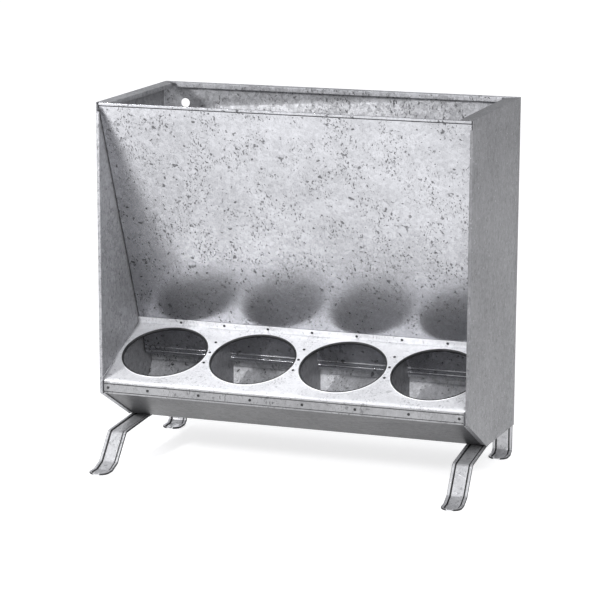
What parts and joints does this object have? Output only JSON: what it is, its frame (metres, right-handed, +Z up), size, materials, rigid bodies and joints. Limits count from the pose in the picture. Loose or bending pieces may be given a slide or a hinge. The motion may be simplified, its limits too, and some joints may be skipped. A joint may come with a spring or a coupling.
{
  "type": "trough feeder",
  "caption": "Galvanised steel poultry feeder: open sloping hopper over a covered trough with round feeding holes, on bent strap legs, with hanging holes in the back.",
  "frame": {"origin": "on the ground, under the middle of the bounding box", "axes": "+X to the right as seen from the front, -Y out of the front (the feeding side), +Z up"},
  "size_m": [0.5048, 0.2821, 0.484],
  "materials": {
    "galvanised_sheet": "hot-dip galvanised sheet, fine spangle, semi-gloss",
    "galvanised_tray": "hot-dip galvanised sheet, bright, semi-gloss",
    "galvanised_strap": "galvanised pressed strap, bright",
    "rivet_zinc": "dull zinc-plated rivet heads"
  },
  "bodies": {
    "root": {"side_panel_right": "galvanised_sheet", "side_panel_left": "galvanised_sheet", "back_panel": "galvanised_sheet", "hopper_front_panel": "galvanised_sheet", "trough_pan": "galvanised_sheet", "hopper_floor": "galvanised_sheet", "divider_1": "galvanised_sheet", "divider_2": "galvanised_sheet", "divider_3": "galvanised_sheet", "feeding_tray": "galvanised_tray", "front_leg_left": "galvanised_strap", "front_leg_right": "galvanised_strap", "rear_foot_left": "galvanised_strap", "rear_foot_right": "galvanised_strap", "lip_rivet_1": "rivet_zinc", "lip_rivet_2": "rivet_zinc", "lip_rivet_3": "rivet_zinc", "lip_rivet_4": "rivet_zinc", "lip_rivet_5": "rivet_zinc", "lip_rivet_6": "rivet_zinc", "lip_rivet_7": "rivet_zinc", "lip_rivet_8": "rivet_zinc", "hopper_rivet_1": "rivet_zinc", "hopper_rivet_2": "rivet_zinc", "hopper_rivet_3": "rivet_zinc", "hopper_rivet_4": "rivet_zinc", "hopper_rivet_5": "rivet_zinc", "hopper_rivet_6": "rivet_zinc", "hopper_rivet_7": "rivet_zinc", "divider_rivet_1": "rivet_zinc", "divider_rivet_2": "rivet_zinc", "divider_rivet_3": "rivet_zinc", "divider_rivet_4": "rivet_zinc", "divider_rivet_5": "rivet_zinc", "divider_rivet_6": "rivet_zinc", "divider_rivet_7": "rivet_zinc", "divider_rivet_8": "rivet_zinc", "divider_rivet_9": "rivet_zinc", "leg_rivet_1": "rivet_zinc", "leg_rivet_2": "rivet_zinc", "leg_rivet_3": "rivet_zinc", "leg_rivet_4": "rivet_zinc", "foot_rivet_1": "rivet_zinc", "foot_rivet_2": "rivet_zinc", "foot_rivet_3": "rivet_zinc", "foot_rivet_4": "rivet_zinc"}
  },
  "joints": []
}
